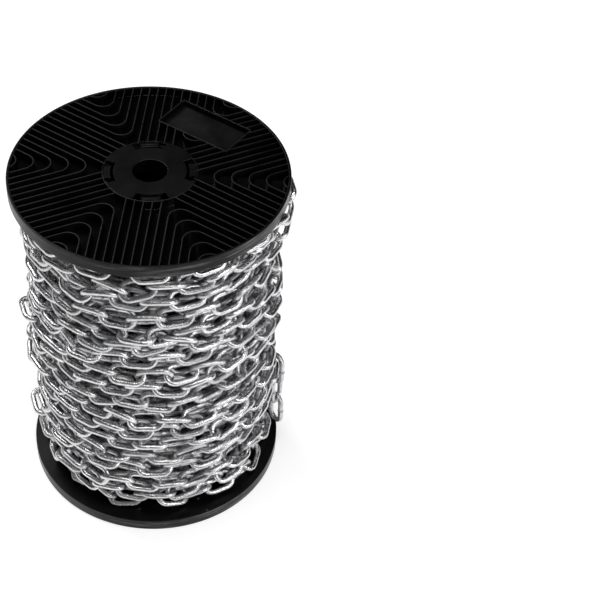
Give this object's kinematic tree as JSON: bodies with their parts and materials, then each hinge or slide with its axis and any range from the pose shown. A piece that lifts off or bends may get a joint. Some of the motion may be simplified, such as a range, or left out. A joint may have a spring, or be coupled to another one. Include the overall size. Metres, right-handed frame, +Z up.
{
  "type": "reel of steel chain",
  "caption": "Short-link steel chain wound on a plastic reel with two round ribbed flanges and a bored hub, standing on one flange.",
  "frame": {"origin": "on the reel's axis, on the floor that the lower flange stands on", "axes": "+Z up along the reel's axis, +X towards the side where the chain's free end hangs"},
  "size_m": [0.2344, 0.23, 0.327],
  "materials": {
    "black_plastic": "moulded, satin to glossy",
    "zinc_chain": "bright zinc plate",
    "inner_chain": "zinc plate in shade"
  },
  "bodies": {
    "root": {"upper_flange": "black_plastic", "lower_flange": "black_plastic", "barrel": "black_plastic", "chain_core": "inner_chain", "outer_chain_layer": "zinc_chain", "free_end_link_1": "zinc_chain", "free_end_link_2": "zinc_chain", "free_end_link_3": "zinc_chain"}
  },
  "joints": []
}
